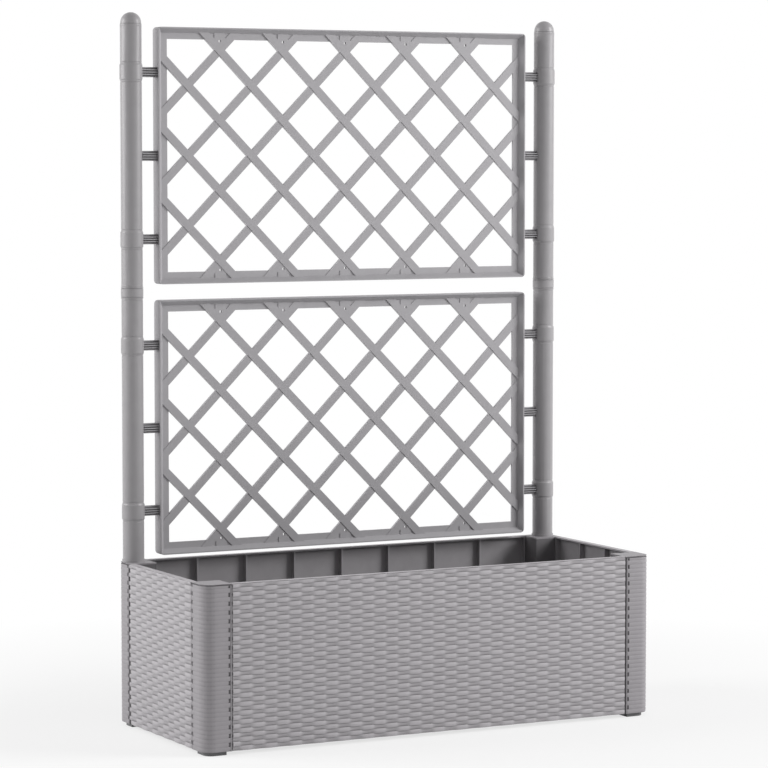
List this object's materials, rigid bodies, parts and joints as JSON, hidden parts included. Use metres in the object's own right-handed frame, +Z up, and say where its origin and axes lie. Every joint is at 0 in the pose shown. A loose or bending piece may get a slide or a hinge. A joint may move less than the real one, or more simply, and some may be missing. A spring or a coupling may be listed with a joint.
{
  "type": "planter box with trellis",
  "caption": "Long wicker-pattern planter box on low feet, with two capped posts at the rear that hold a lower and an upper lattice panel; the trellis and soil grate lift off.",
  "frame": {"origin": "on the floor under the middle of the box", "axes": "+Z up, +X along the box to the right seen from the front, +Y to the rear where the posts stand"},
  "size_m": [1, 0.42, 1.425],
  "materials": {
    "wicker_plastic": "matt warm grey, woven look",
    "lattice_plastic": "matt light grey",
    "post_plastic": "matt grey, smooth",
    "foot_plastic": "matt grey",
    "inner_plastic": "matt dark grey"
  },
  "bodies": {
    "planter": {"front_panel": "wicker_plastic", "right_panel": "wicker_plastic", "rear_panel": "wicker_plastic", "left_panel": "wicker_plastic", "corner_front_left": "wicker_plastic", "corner_front_right": "wicker_plastic", "corner_rear_right": "wicker_plastic", "corner_rear_left": "wicker_plastic", "foot_front_left": "foot_plastic", "foot_front_right": "foot_plastic", "foot_rear_right": "foot_plastic", "foot_rear_left": "foot_plastic", "water_tray": "inner_plastic"},
    "grate": {"soil_grate": "inner_plastic", "wick_cup_far_left": "inner_plastic", "wick_cup_left": "inner_plastic", "wick_cup_right": "inner_plastic", "wick_cup_far_right": "inner_plastic"},
    "lower_trellis": {"lower_pole_left": "post_plastic", "lower_pole_right": "post_plastic", "coupling_left": "post_plastic", "coupling_right": "post_plastic", "lower_trellis_panel": "lattice_plastic", "pin_lower_left_low": "lattice_plastic", "pin_lower_left_middle": "lattice_plastic", "pin_lower_left_high": "lattice_plastic", "pin_lower_right_low": "lattice_plastic", "pin_lower_right_middle": "lattice_plastic", "pin_lower_right_high": "lattice_plastic"},
    "upper_trellis": {"upper_pole_left": "post_plastic", "upper_pole_right": "post_plastic", "upper_trellis_panel": "lattice_plastic", "pin_upper_left_low": "lattice_plastic", "pin_upper_left_middle": "lattice_plastic", "pin_upper_left_high": "lattice_plastic", "pin_upper_right_low": "lattice_plastic", "pin_upper_right_middle": "lattice_plastic", "pin_upper_right_high": "lattice_plastic"},
    "left_cap": {"cap_left": "post_plastic"},
    "right_cap": {"cap_right": "post_plastic"}
  },
  "joints": [
    {"name": "grate_lift", "type": "slide", "parent": "planter", "child": "grate", "axis": [0, 0, 1], "range_m": [0, 0.25]},
    {"name": "lower_trellis_lift", "type": "slide", "parent": "planter", "child": "lower_trellis", "axis": [0, 0, 1], "range_m": [0, 0.15]},
    {"name": "upper_trellis_lift", "type": "slide", "parent": "lower_trellis", "child": "upper_trellis", "axis": [0, 0, 1], "range_m": [0, 0.05]},
    {"name": "cap_left_lift", "type": "slide", "parent": "upper_trellis", "child": "left_cap", "axis": [0, 0, 1], "range_m": [0, 0.025]},
    {"name": "cap_right_lift", "type": "slide", "parent": "upper_trellis", "child": "right_cap", "axis": [0, 0, 1], "range_m": [0, 0.025]}
  ]
}
